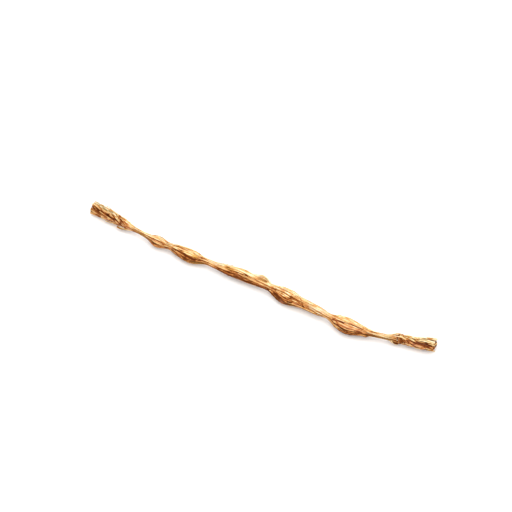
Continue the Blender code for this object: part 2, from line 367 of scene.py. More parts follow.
def add_node(tree, kind, inputs=None, **settings):
    """A new node. Gives a wire from the first of its outputs that is in use."""
    node = tree.nodes.new(kind)
    for name, value in settings.items():
        setattr(node, name, value)
    for name, value in (inputs or {}).items():
        put(usable(node.inputs, name), value)
    return Wire(tree, next(socket for socket in node.outputs if socket.enabled))


def also(wire, name):
    """A wire from another output of the same node."""
    return Wire(wire.tree, usable(wire.socket.node.outputs, name))


print("ready: Wire, put, calculate, add_node, also")

# %% Short names for the nodes that come back often
def vector(x, y, z):
    return add_node(tree_of(x, y, z), "ShaderNodeCombineXYZ", {"X": x, "Y": y, "Z": z})


sine, cosine = partial(calculate, "SINE"), partial(calculate, "COSINE")
smaller, larger = partial(calculate, "MINIMUM"), partial(calculate, "MAXIMUM")
distance, whole = partial(calculate, "ABSOLUTE"), partial(calculate, "FLOOR")


def wave(angle):
    """0 on a crest and 1 in a valley."""
    return 0.5 - 0.5 * cosine(angle)


def bell(square):
    """1 in the middle of a bell curve, falling to 0, from the square of the distance."""
    return calculate("EXPONENT", 0.0 - square)


def held(value):
    """The value, kept between 0 and 1."""
    return smaller(larger(value, 0.0), 1.0)


def ease(value, start, end):
    """0 at start and 1 at end, easing in and out."""
    inputs = {"Value": value, "From Min": start, "From Max": end}
    return add_node(value.tree, "ShaderNodeMapRange", inputs, interpolation_type="SMOOTHSTEP")


def spread(value, start, end, low=0.0, high=1.0):
    """The value stretched from start..end to low..high, and held there."""
    inputs = {"Value": value, "From Min": start, "From Max": end, "To Min": low, "To Max": high}
    return add_node(value.tree, "ShaderNodeMapRange", inputs)


def noise(place, detail=1.0, roughness=0.5):
    """Soft random hills between 0 and 1."""
    inputs = {"Vector": place, "Scale": 1.0, "Detail": detail, "Roughness": roughness}
    return add_node(place.tree, "ShaderNodeTexNoise", inputs)


def full_range(hills):
    """Noise keeps near its middle. This stretches it to the whole of 0 to 1."""
    return spread(hills, 0.36, 0.64)


print("ready: vector, wave, bell, held, ease, spread, noise, full_range")

# %% Start a tree, end it, and run it on a mesh
def start_tree(name, *sizes, **others):
    """A new Geometry Nodes tree. Gives the tree and a wire for each input: mesh, sizes, others, material."""
    tree = bpy.data.node_groups.new(name, "GeometryNodeTree")
    tree.is_modifier = True
    tree.interface.new_socket("Geometry", in_out="OUTPUT", socket_type="NodeSocketGeometry")
    inputs = {"Geometry": "Geometry", **dict.fromkeys(sizes, "Float"), **others, "Material": "Material"}
    for label, kind in inputs.items():
        tree.interface.new_socket(label.replace("_", " "), in_out="INPUT", socket_type="NodeSocket" + kind)
    entry = tree.nodes.new("NodeGroupInput")
    return tree, *(Wire(tree, socket) for socket in entry.outputs[:len(inputs)])


def move(geometry, place):
    return add_node(geometry.tree, "GeometryNodeSetPosition", {"Geometry": geometry, "Position": place})


def parts_of(place):
    """The three numbers of a vector."""
    x = add_node(place.tree, "ShaderNodeSeparateXYZ", {"Vector": place})
    return x, also(x, "Y"), also(x, "Z")


def on_the_table(geometry):
    """Lifts what would reach under the table, which leaves the root lying on small flat spots."""
    x, y, z = parts_of(add_node(geometry.tree, "GeometryNodeInputPosition"))
    return move(geometry, vector(x, y, larger(z, 0.0)))


def end_tree(geometry, material):
    """Real geometry on the table, smooth, with its material: what every tree here ends in."""
    tree = geometry.tree
    real = add_node(tree, "GeometryNodeRealizeInstances", {"Geometry": on_the_table(geometry)})
    smooth = add_node(tree, "GeometryNodeSetShadeSmooth", {"Geometry": real})
    painted = add_node(tree, "GeometryNodeSetMaterial", {"Geometry": smooth, "Material": material})
    put(tree.nodes.new("NodeGroupOutput").inputs["Geometry"], painted)
    return tree


def grow(name, mesh, tree, **sizes):
    """Runs a tree on a copy of the mesh and keeps the result as a plain mesh."""
    thing = add_object(name, mesh.copy())
    modifier = thing.modifiers.new(tree.name, "NODES")
    modifier.node_group = tree
    sockets = {item.name: item.identifier for item in tree.interface.items_tree if item.in_out == "INPUT"}
    for label, value in sizes.items():
        modifier[sockets[label.replace("_", " ")]] = value
    bpy.context.view_layer.update()
    grown = bpy.data.meshes.new_from_object(thing.evaluated_get(bpy.context.evaluated_depsgraph_get()))
    thing.modifiers.clear()
    thing.data = grown
    grown.name = name
    triangles = sum(len(face.vertices) - 2 for face in grown.polygons)
    print(f"{name}: {triangles} triangles")
    return thing


print("node trees so far:", len(bpy.data.node_groups))

# %% Read and write the values that a mesh carries
LINE_VECTORS = ("middle", "side", "up")


def kind_of(value):
    return "FLOAT_VECTOR" if is_vector(value) else "FLOAT"


def named(tree, name):
    """A value that a mesh carries, by its name."""
    kind = "FLOAT_VECTOR" if name in LINE_VECTORS else "FLOAT"
    return add_node(tree, "GeometryNodeInputNamedAttribute", {"Name": name}, data_type=kind)


def store(geometry, domain="POINT", **values):
    """Writes values on the geometry, each under its name."""
    for name, value in values.items():
        inputs = {"Geometry": geometry, "Name": name, "Value": value}
        settings = {"data_type": kind_of(value), "domain": domain}
        geometry = add_node(geometry.tree, "GeometryNodeStoreNamedAttribute", inputs, **settings)
    return geometry


print("vectors on the line:", LINE_VECTORS)

# %% [markdown]
# ## The colour of the dry skin
#
# A dried root isn't one brown. Its flanks are orange-brown, its ridges are painted pale, to straw and cream,
# as a painted highlight, and the grooves between the fibres are painted dark, as painted shade. It is also
# streaked along its length, because it is made of fibres. The material therefore reads values that the mesh
# will carry: `crest` is high on a ridge, `groove` is high in a fold, `topside` is high on the upper side,
# which is painted lighter as painted light from above, and `grain` runs with the fibres, so streaks bend with
# the root instead of cutting across it.

# %% Helpers for a material
def carried(tree, name, kind="Fac"):
    """A value that the mesh carries, read in a material."""
    return also(add_node(tree, "ShaderNodeAttribute", attribute_name=name), kind)


def streaked(grain, length, width, detail=1.0, roughness=0.5):
    """Noise in streaks along the grain. Larger numbers make them shorter and narrower."""
    place = add_node(grain.tree, "ShaderNodeMapping", {"Vector": grain, "Scale": (length, width, width)})
    return noise(place, detail, roughness)


def colour_ramp(value, stops):
    """Colours along a value from 0 to 1. Each stop is (place, colour)."""
    ramp = add_node(value.tree, "ShaderNodeValToRGB", {"Fac": value})
    elements = ramp.socket.node.color_ramp.elements
    while len(elements) < len(stops):
        elements.new(1.0)
    for element, (place, colour) in zip(elements, stops):
        element.position = place
        element.color = (*colour, 1.0)
    return ramp


def blend_colours(share, under, over):
    inputs = {"Factor": share, "A": under, "B": (*over, 1.0)}
    return add_node(share.tree, "ShaderNodeMix", inputs, data_type="RGBA")


def paint(tree, colour, roughness, relief, depth, strength):
    """Gives the material its colour and roughness, and a fine relief of that depth."""
    bump = {"Height": relief, "Distance": depth, "Strength": strength}
    looks = {
        "Base Color": colour,
        "Roughness": roughness,
        "Specular IOR Level": DRY_GLOSS,
        "Normal": add_node(tree, "ShaderNodeBump", bump),
    }
    for name, value in looks.items():
        put(tree.nodes["Principled BSDF"].inputs[name], value)


DARK = (0.115, 0.026, 0.004)
BROWN = (0.34, 0.092, 0.016)
TAN = (0.63, 0.255, 0.07)
STRAW = (0.74, 0.47, 0.19)
CREAM = (0.88, 0.68, 0.34)
PALE = (0.93, 0.83, 0.58)
OLIVE = (0.27, 0.17, 0.045)
PINK = (0.55, 0.20, 0.12)
AMBER = (0.62, 0.33, 0.045)
TONES = ((0.0, DARK), (0.20, BROWN), (0.42, TAN), (0.64, STRAW), (0.84, CREAM), (1.0, PALE))
DRY_GLOSS = 0.08  # a dry root hardly shines, least of all in its dark lines
CALMED = 0.8  # how much of the ridges and dashes a calm place takes away
print("tones from groove to ridge:", len(TONES))

# %% Mix the skin's colour
def mix_skin_colour():
    material, tree = start_material("dry_root_skin")
    grain = carried(tree, "grain", "Vector")
    topside = carried(tree, "topside")
    streaks = full_range(streaked(grain, 0.14, 1.3, detail=2.0))
    hairlines = full_range(streaked(grain, 0.28, 2.6))
    threads = full_range(streaked(grain, 0.60, 6.5))
    patches = full_range(streaked(grain, 0.10, 0.4, detail=3.0))
    dashes = spread(streaked(grain, 0.26, 4.2), 0.58, 0.63)
    # Painted light and shade in the tone: topside lightens the upper side, crest lightens the ridges and
    # darkens their valleys, groove and line darken the folds and the gaps between strands.
    tone = (
        0.14
        + 0.60 * topside
        + 0.60 * (carried(tree, "crest") - 0.66)
        + 0.20 * (streaks - 0.5)
        + 0.32 * (hairlines - 0.5)
        + 0.22 * (threads - 0.5)
        + 0.20 * (patches - 0.5)
        - 0.50 * dashes * (1.0 - CALMED * carried(tree, "calm"))
        - 0.80 * carried(tree, "groove")
        - 0.50 * carried(tree, "line")
        - 0.32 * carried(tree, "tick")
        - 0.40 * carried(tree, "shade")
        # brush paints shade on the skin inside the brushes, where it lies among the fibres.
        - 0.60 * carried(tree, "brush")
    )
    # Painted shade: olive-brown darkening on the underside, strongest where topside is lowest.
    painted_underside_shade = spread(topside, 0.30, 0.05, 0.0, 0.50) * (0.4 * patches + 0.6 * hairlines)
    blush = spread(streaked(grain, 0.19, 0.6, detail=2.0), 0.58, 0.70, 0.0, 0.35)
    colour = blend_colours(painted_underside_shade, colour_ramp(tone, TONES), OLIVE)
    colour = blend_colours(larger(blush, carried(tree, "pink_spots")), colour, PINK)
    colour = blend_colours(carried(tree, "amber_spots"), colour, AMBER)
    colour = blend_colours(carried(tree, "olive_spots") * (0.5 + 0.5 * patches), colour, OLIVE)
    roughness = spread(tone, 0.1, 0.8, 0.85, 0.55)
    paint(tree, colour, roughness, relief=hairlines * 0.6 + threads * 0.4, depth=0.12 * MM, strength=0.8)
    return material


dry_root_skin = mix_skin_colour()
print("material:", dry_root_skin.name, "with", len(dry_root_skin.node_tree.nodes), "nodes")

# %% [markdown]
# ## The skin
#
# The skin is a tube along the line, and its shape follows a rule: ten ridges run along the root and turn
# slowly round it, each one bolder here and fainter there. That could be sculpted, but a rule is easier to
# keep the same as the CAD solid and easier to change. The tree below sweeps a circle along the line, so that
# every point knows how far along and how far round it is, and then places each point by formula.

# %% The rule for the ridges
RIDGES = 10
RIDGE_DEPTH = 0.22
RIDGE_WAVES = (9.0, 17.0)
RIDGE_STRENGTH = (0.30, 1.00)
WAVE_SPREAD = 0.618
WAVE_SHIFT = 3.0
FULL_TURN = 2.0 * math.pi


def ridge_strength(along, around):
    """How strongly the nearest ridge stands out here. Each ridge has a wave of its own length."""
    nearest = calculate("MODULO", whole(around * (RIDGES / FULL_TURN)), float(RIDGES))
    share = calculate("FRACT", (nearest + 1.0) * WAVE_SPREAD)
    length = RIDGE_WAVES[0] + share * (RIDGE_WAVES[1] - RIDGE_WAVES[0])
    swell = 0.5 + 0.5 * sine(FULL_TURN * (along / length + share * WAVE_SHIFT))
    return RIDGE_STRENGTH[0] + swell * (RIDGE_STRENGTH[1] - RIDGE_STRENGTH[0])


print("ridges round the root:", RIDGES)

# %% [markdown]
# ## Folds and bumps
#
# Where the root dried, its skin fell into a few deep folds, and it carries a few bumps. Each is given as
# numbers: where it starts and ends, how wide it is and how deep. A bell curve across the fold gives it soft
# lips. The fine folds are the lines between the strands, which the colour paints dark as painted shade.

# %% Where the folds and bumps are
# Angles go round the root from straight up, towards -Y.
# A fold is (x, angle) at its two ends, its bend between them in degrees, its half-width and its depth.
FOLDS = (
    ((-47.8, 14.0), (-40.6, 20.0), 3.0, 0.32, 0.30),
    ((-38.0, 46.0), (-21.5, 62.0), -14.0, 0.42, 0.30),
    ((-12.0, 66.0), (1.0, 85.0), 0.0, 0.45, 0.25),
    ((5.5, 58.0), (14.5, 96.0), -4.0, 0.55, 0.38),
    ((16.9, -45.0), (20.8, 85.0), 0.0, 0.38, 0.32),
    ((32.0, 32.0), (47.2, 18.0), -16.0, 0.32, 0.62),
)
FINE_FOLDS = (
    ((-47.0, 46.0), (-41.5, 66.0), 0.0, 0.22, 0.20),
    ((-37.5, -16.0), (-29.0, -17.0), -4.0, 0.18, 0.16),
    ((-20.0, 54.0), (-6.0, 59.0), -3.0, 0.22, 0.20),
    ((-17.5, 26.0), (-4.5, 26.0), -4.0, 0.20, 0.18),
    ((-15.0, -18.0), (-2.0, 18.0), 2.0, 0.18, 0.16),
    ((-2.2, -48.0), (3.0, -50.0), 0.0, 0.16, 0.20),
    ((-1.6, -29.0), (2.8, -25.0), 0.0, 0.27, 0.55),
    ((4.8, 29.0), (15.0, 45.0), 0.0, 0.20, 0.20),
    ((6.0, 14.0), (13.5, 9.0), 0.0, 0.16, 0.16),
    ((13.0, 14.0), (19.6, 52.0), -6.0, 0.22, 0.22),
    ((19.0, 24.0), (28.0, 33.0), 3.0, 0.16, 0.16),
    ((21.5, -12.0), (28.0, -22.0), 0.0, 0.14, 0.12),
    ((20.5, 48.0), (29.5, 90.0), -4.0, 0.28, 0.26),
    ((32.5, 34.0), (38.0, 20.0), 0.0, 0.30, 0.25),
    ((36.5, 54.0), (45.5, 54.0), 7.0, 0.22, 0.20),
)
# A bump is (x, angle), then its half-length, its half-width and its height.
BUMPS = (
    ((-41.2, 30.0), 1.2, 0.9, 0.35),
    ((0.9, -58.0), 2.7, 1.0, 1.15),
    ((10.0, 110.0), 3.0, 1.5, 0.40),
    ((46.8, 114.0), 1.0, 0.7, 0.65),
)
# The angle round the root where the painted light from above is strongest.
PAINTED_LIGHT_SIDE = math.radians(-40.0)


def painted_light_share(angle):
    """1 on the upper side, which is painted lighter as painted light from above, and 0 on the far side."""
    return 0.5 + 0.5 * cosine(angle - PAINTED_LIGHT_SIDE)


def angle_from(angle, middle):
    """How far the angle is from the middle, the short way round."""
    return calculate("WRAP", angle - middle, math.pi, -math.pi)


def fold_depth(along, angle, radius, folds):
    depth = 0.0
    for (start, from_angle), (end, to_angle), bend, half_width, most in folds:
        share = (along - start) / (end - start)
        inside = held(share)
        middle = math.radians(from_angle) + share * math.radians(to_angle - from_angle)
        middle = middle + inside * (1.0 - inside) * (4.0 * math.radians(bend))
        off = radius * angle_from(angle, middle) / half_width
        depth = depth + most * larger(sine(inside * math.pi), 0.0) ** 0.5 * bell(off * off)
    return depth


def bump_height(along, angle, radius, bumps):
    height = 0.0
    for (place, middle), half_length, half_width, most in bumps:
        lengthwise = (along - place) / half_length
        crosswise = radius * angle_from(angle, math.radians(middle)) / half_width
        height = height + most * bell(lengthwise * lengthwise + crosswise * crosswise)
    return height


print("folds:", len(FOLDS), "fine folds:", len(FINE_FOLDS), "bumps:", len(BUMPS))

# %% [markdown]
# ## Sweeping the skin
#
# Three sizes of relief lie on each other: the ten ridges, twenty strands that run with them and wander a
# little, and a fine crinkle that is strongest on the underside of the swellings, where the skin shrank most.
# The tree also writes `crest`, `groove`, `topside` and `grain` on the points, for the material.

# %% Build the skin's tree
WANDER = 0.55
FINE_WANDER = 0.16
STRAND_SHARPNESS = 2.2
LINE_SHARPNESS = 5.0
STRAND_SHARE = 0.085
STRAND_LEAST = 0.05
CRINKLE_LEVEL = 0.64  # over half, so that the crinkle mostly cuts in and hardly stands out
CRINKLED_PLACES = (
    ((-30.0, 76.0), 5.0, 1.6, 1.2),
    ((-38.3, 36.0), 2.4, 0.9, 1.2),
    ((-44.0, 95.0), 3.0, 1.4, 0.4),
    ((12.0, 100.0), 7.0, 2.6, 0.9),
    ((38.5, 98.0), 7.5, 2.8, 0.9),
    ((-12.0, 100.0), 6.0, 2.0, 0.5),
)

# Where the ridges are faint, so that a broad pale band shows.
CALM_PLACES = (
    ((25.0, 35.0), 6.5, 2.4, 1.0),
    ((11.0, -15.0), 5.0, 2.4, 0.7),
    ((-1.0, 15.0), 5.0, 1.8, 0.6),
    ((39.0, -18.0), 6.0, 1.3, 0.8),
    ((40.0, 38.0), 5.0, 0.8, 0.8),
)

# Where the skin is darker than elsewhere, or lighter where the last number is negative.
SHADED_PLACES = (
    ((-51.5, 62.0), 4.0, 0.7, 0.5),
    ((-44.5, 30.0), 3.0, 1.1, 0.3),
    ((-43.5, 102.0), 2.2, 0.7, -0.6),
    ((-31.0, 50.0), 5.5, 1.3, 0.55),
    ((-12.0, 32.0), 6.0, 1.0, 0.30),
    ((-15.5, 88.0), 6.0, 1.4, 0.8),
    ((-1.0, 72.0), 6.0, 1.3, 1.0),
    ((4.0, 25.0), 4.0, 1.4, -0.2),
    ((12.5, 35.0), 4.0, 0.9, 0.25),
    ((12.5, 84.0), 5.0, 1.4, 0.7),
    ((12.0, -45.0), 6.0, 1.2, -0.25),
    ((24.0, 46.0), 6.0, 1.8, -1.1),
    ((31.0, 40.0), 2.5, 1.0, -0.3),
    ((25.0, 102.0), 6.0, 0.8, 0.9),
    ((39.0, 62.0), 5.0, 1.2, 0.45),
    ((47.8, 66.0), 2.6, 0.8, 0.6),
    ((52.5, 82.0), 4.0, 0.8, 0.5),
    ((57.5, 45.0), 2.6, 1.4, 0.7),
)
SPOTS = {
    "pink_spots": (
        ((-56.8, 86.0), 1.2, 0.6, 0.9),
        ((-46.0, 105.0), 1.6, 0.6, 0.4),
        ((-44.8, 35.0), 2.6, 0.6, 0.35),
        ((40.5, 34.0), 5.0, 0.8, 0.40),
    ),
    "amber_spots": (
        ((-28.0, 13.0), 1.3, 0.6, 0.8),
        ((-13.0, 8.0), 2.5, 0.5, 0.4),
        ((-44.0, -14.0), 2.4, 0.5, 0.35),
    ),
    "olive_spots": (
        ((-51.0, 62.0), 4.5, 0.8, 0.7),
        ((-33.5, -20.0), 3.5, 0.35, 0.6),
        ((-27.0, 100.0), 5.0, 0.9, 0.5),
        ((0.6, -30.0), 2.4, 0.5, 0.7),
        ((52.5, 82.0), 4.5, 0.9, 0.7),
    ),
}


def build_skin_tree():
    tree, line, strands, crinkle, columns, finish = start_tree(
        "sweep_root_skin", "Strands", "Crinkle", Columns="Int"
    )
    along, radius, core = named(tree, "along"), named(tree, "half_thickness"), named(tree, "core")
    core_middle, core_half = 0.5 * (CORE_ENDS[0] + CORE_ENDS[1]), 0.5 * (CORE_ENDS[1] - CORE_ENDS[0])
    outside_core = calculate("GREATER_THAN", distance(along - core_middle), core_half)
    inside = add_node(tree, "GeometryNodeDeleteGeometry", {"Geometry": line, "Selection": outside_core})
    path = add_node(tree, "GeometryNodeMeshToCurve", {"Mesh": inside})
    circle = add_node(tree, "GeometryNodeCurvePrimitiveCircle", {"Resolution": columns, "Radius": MM})
    profile = store(circle, around=add_node(tree, "GeometryNodeInputIndex") * FULL_TURN / columns)
    inputs = {"Curve": path, "Profile Curve": profile, "Fill Caps": True}
    tube = add_node(tree, "GeometryNodeCurveToMesh", inputs)

    around = named(tree, "around")
    angle = around + named(tree, "turn")
    across, upward = cosine(around), sine(around)
    skin_radius = radius * core
    bumps, folds = partial(bump_height, along, angle), partial(fold_depth, along, angle, skin_radius)
    calm = bumps(radius, CALM_PLACES)
    valley = wave(around * float(RIDGES)) * ridge_strength(along, around) * (1.0 - CALMED * calm)

    def ring_noise(length, width):
        """Noise that runs on round the root without a seam."""
        return noise(vector(along * length, across * width, upward * width))

    wander, fine_wander = ring_noise(0.07, 1.1) - 0.5, ring_noise(0.22, 2.2) - 0.5
    strand_wave = wave((around + WANDER * wander + FINE_WANDER * fine_wander) * strands)
    strand_valley = strand_wave ** STRAND_SHARPNESS
    boldness = full_range(ring_noise(0.16, 2.6))
    strand_depth = (skin_radius * STRAND_SHARE + STRAND_LEAST) * (0.3 + 0.9 * boldness)

    crinkled = bumps(radius, CRINKLED_PLACES)
    slanted = vector(along * 1.25 + angle * 1.6, across * 3.5, upward * 3.5)
    crinkle_height = (noise(slanted, detail=2.0) - CRINKLE_LEVEL) * crinkle * (0.35 + 1.6 * crinkled)
    ticks = spread(noise(slanted * 1.4), 0.50, 0.60)

    deep, fine = folds(FOLDS), folds(FINE_FOLDS)
    reach = skin_radius - valley * skin_radius * RIDGE_DEPTH - deep - fine + bumps(skin_radius, BUMPS)
    reach = reach - strand_valley * strand_depth + crinkle_height
    outward = named(tree, "side") * sine(angle) + named(tree, "up") * cosine(angle)
    girth = 0.6 + 0.4 * radius
    # crest, groove, line and topside carry painted light and shade: lighter ridges and upper side, darker
    # valleys, folds and gaps between strands.
    skin = store(
        tube,
        crest=1.0 - valley * 0.55 - strand_valley * 0.45,
        groove=deep * 1.6 + fine * 3.0,
        line=strand_wave ** LINE_SHARPNESS * boldness * (1.0 - 0.7 * calm),
        tick=ticks * smaller(crinkled, 1.0),
        calm=calm,
        shade=bumps(radius, SHADED_PLACES),
        **{label: bumps(radius, spots) for label, spots in SPOTS.items()},
        topside=painted_light_share(angle),
        # brush is painted shade on the skin inside the brushes, among the fibres.
        brush=spread(core, 1.0, CORE_SHARE),
        grain=vector(along, across * girth, upward * girth),
    )
    return end_tree(move(skin, (named(tree, "middle") + outward * reach) * MM), finish)


skin_tree = build_skin_tree()
print("nodes in the skin's tree:", len(skin_tree.nodes))

# %% Sweep the skin
root_skin = grow(
    "root_skin", root_line, skin_tree, Columns=200, Strands=20.0, Crinkle=0.22, Material=dry_root_skin
)

# %% [markdown]
# ## Is it inside out?
#
# A swept tube can come out with its faces pointing inwards. The sum of `normal · position` over the faces
# shows it: it is the volume of a closed shape, and it is negative when the shape is inside out. Then every
# face is turned.

# %% Turn the faces outwards if they need it
def volume_of(mesh):
    total = 0.0
    mesh.calc_loop_triangles()
    for triangle in mesh.loop_triangles:
        a, b, c = (mesh.vertices[i].co for i in triangle.vertices)
        total += a.dot(b.cross(c)) / 6.0
    return total


def face_outwards(piece):
    if volume_of(piece.data) < 0.0:
        piece.data.flip_normals()
    print(f"{piece.name}: {volume_of(piece.data) / MM**3:.0f} cubic mm")


face_outwards(root_skin)

# %% Ride with the root, and what it stands for
def finish_piece(piece):
    """The piece moves with the root and stands for the CAD solid."""
    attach(piece, "root")
    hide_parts(NODE)


finish_piece(root_skin)

# %% [markdown]
# ## The colour of a fibre
#
# The stiff fibres of a brush are the same stuff as the skin, seen from inside: each has a colour of its own
# between straw and red-brown, some pale towards the cut, where they have rubbed. The ones deep in the bundle
# are painted darkest, as painted shade, and the upper side is painted lighter, as painted light. One material
# does for all of them, because each fibre carries its own `tint`, and `depth` says how deep in the bundle
# each of its points lies, for the painted shade.

# %% Mix the fibres' colour
def mix_fibre_colour():
    material, tree = start_material("dry_fibre")
    tint, depth, topside = carried(tree, "tint"), carried(tree, "depth"), carried(tree, "topside")
    streaks = full_range(streaked(carried(tree, "grain", "Vector"), 0.45, 1.6, detail=3.0, roughness=0.6))
    # Painted light and shade: topside paints the upper side lighter, and depth paints shade deep in the
    # bundle and in its gaps and slits.
    tone = 0.17 + 0.38 * topside + 0.82 * (tint - 0.32) - 0.95 * depth + 0.34 * (streaks - 0.5)
    colour = blend_colours(carried(tree, "pink_spots"), colour_ramp(tone, TONES), PINK)
    colour = blend_colours(carried(tree, "olive_spots"), colour, OLIVE)
    paint(tree, colour, spread(tone, 0.1, 0.8, 0.80, 0.50), relief=streaks, depth=0.08 * MM, strength=0.7)
    return material


dry_fibre = mix_fibre_colour()
print("material:", dry_fibre.name)

# %% [markdown]
# ## Reading the line from another tree
#
# A fibre of the brush has to know where the root runs and how thick it is at any place, also between two
# points of the line. `Sample Index` reads a value at one point, so two of them and a mix read it in between.

# %% Read the line's values at any place along it
def read_line(line, along):
    """A function that gives one of the line's values at a place along it."""
    step = (along - LINE_START) / LINE_STEP
    below = whole(step)
    between = step - below

    def at_point(name, index):
        carried_value = named(line.tree, name)
        inputs = {"Geometry": line, "Index": index, "Value": carried_value}
        return add_node(line.tree, "GeometryNodeSampleIndex", inputs, data_type=kind_of(carried_value))

    def value(name):
        low, high = at_point(name, below), at_point(name, below + 1.0)
        return low + (high - low) * between

    return value


def outward_from(value, angle):
    """The direction out of the root at an angle round it, where value reads the line."""
    return value("side") * sine(angle) + value("up") * cosine(angle)


print("steps on the line:", LINE_POINTS - 1)

# %% What every tree of fibres starts and ends with
GRAIN_STEP = 13.7  # how far the grain jumps from one fibre to the next, so that no two look alike
NOISE_STEP = 7.3  # the same for what makes fibres wander


def copies_of(curve, amount):
    """The curve, so many times over. Each point knows its copy's number and how far along it is."""
    inputs = {"Geometry": curve, "Amount": amount}
    copies = add_node(curve.tree, "GeometryNodeDuplicateElements", inputs, domain="SPLINE")
    share = add_node(curve.tree, "GeometryNodeSplineParameter")
    return store(copies, number=also(copies, "Duplicate Index"), share=share)


def straight_fibres(tree, amount, points):
    """Short straight curves, and wires for each point's number and share."""
    rod = add_node(tree, "GeometryNodeCurvePrimitiveLine", {"End": (0.0, 0.0, MM)})
    rod = add_node(tree, "GeometryNodeResampleCurve", {"Curve": rod, "Count": points})
    return copies_of(rod, amount), named(tree, "number"), named(tree, "share")


def draws(number, seed):
    """A function that draws a random number for each fibre. The salt keeps two draws for one fibre apart."""

    def draw(salt, low=0.0, high=1.0):
        inputs = {"Min": low, "Max": high, "ID": number, "Seed": seed + float(salt)}
        return add_node(number.tree, "FunctionNodeRandomValue", inputs)

    return draw


def end_fibres(curves, sides, lengthwise, number, finish):
    """A round skin with flat ends along each curve, whose profile knows how far round it is, and a grain."""
    tree = curves.tree
    circle = add_node(tree, "GeometryNodeCurvePrimitiveCircle", {"Resolution": sides, "Radius": MM})
    profile = store(circle, around=add_node(tree, "GeometryNodeInputIndex") * (FULL_TURN / sides))
    inputs = {"Curve": curves, "Profile Curve": profile, "Scale": named(tree, "half"), "Fill Caps": True}
    around = named(tree, "around")
    grain = vector(lengthwise + number * GRAIN_STEP, cosine(around), sine(around))
    return end_tree(store(add_node(tree, "GeometryNodeCurveToMesh", inputs), grain=grain), finish)


print("grain's step from fibre to fibre:", GRAIN_STEP)

# %% [markdown]
# ## A brush of fibres
#
# At each end the skin has worn away and the stiff fibres inside have come free, into a brush with a blunt,
# ragged cut. Over a hundred fibres modelled by hand would take days. Here one straight curve is copied, and
# each copy gets a place in the bundle by the rule that packs seeds in a flower head: turn by the golden
# angle, and move out with the square root of the number. That fills a disc evenly, without rows. The fibres
# leave the neck close together, spread until they fill the root's width, and wander a little, and they turn
# with the ridges, as a twisted bundle does. Slits part them into smaller bundles, with painted shade in them.
# The same tree also grows a few loose fibres of uneven length round each brush.

# %% Where the brushes have gaps between their fibres, painted dark as painted shade
# Gaps are written as folds are: (x, degrees) at both ends, the bend, the half-width and the depth.
BRUSH_GAPS = (
    ((-74.8, 20.0), (-61.0, 42.0), 3.0, 0.48, 0.75),
    ((-73.0, 46.0), (-66.5, 56.0), 0.0, 0.28, 0.60),
    ((-64.2, -58.0), (-59.0, 20.0), 0.0, 0.22, 0.65),
    ((-65.0, -28.0), (-59.2, 46.0), 0.0, 0.24, 0.65),
    ((-66.0, 2.0), (-59.8, 80.0), 0.0, 0.24, 0.65),
    ((62.0, 26.0), (67.4, 56.0), 0.0, 0.32, 0.90),
    ((65.2, 13.0), (70.4, 46.0), 0.0, 0.32, 0.90),
    ((68.2, 30.0), (73.0, 64.0), 0.0, 0.32, 0.90),
    ((66.0, 86.0), (73.6, 104.0), 0.0, 0.35, 0.50),
    ((59.2, 52.0), (63.2, 29.0), 0.0, 0.24, 0.50),
)
OLIVE_GAPS = (
    ((-74.4, -38.0), (-65.0, -6.0), 8.0, 0.28, 0.90),
    ((59.4, 10.0), (72.4, -20.0), 0.0, 0.22, 0.70),
)
PINK_FIBRES = (
    ((67.0, 62.0), 4.0, 1.4, 0.45),
    ((-66.0, 80.0), 5.0, 1.0, 0.35),
    ((-59.5, 60.0), 2.0, 1.0, 0.35),
)
print("gaps in the brushes:", len(BRUSH_GAPS) + len(OLIVE_GAPS))

# %% Build the brush's tree
GOLDEN_ANGLE = math.pi * (3.0 - math.sqrt(5.0))
DOME = 0.3  # how much sooner the outer fibres end than the middle ones
LIT_EDGE = math.radians(-62.0)
FIBRE_POINTS = 24
FIBRE_SIDES = 6
SPIN_LENGTH = 9.0
SWAY = 0.4
JITTER = 0.05
START_DEPTH = 2.0  # how far inside the neck the fibres start
FOOT_WIDTH = 0.42  # how wide the bundle is where the fibres start, as a share of the root's width
DARK_FIBRES = 0.42  # the share of the fibres that are dark, and how softly they pass into the light ones
DARK_BLEND = 0.06
SLITS_ROUND = 4.8
SLITS_ALONG = 0.26
SLIT_EDGES = (0.53, 0.61)
SLIT_DEPTH = 0.55


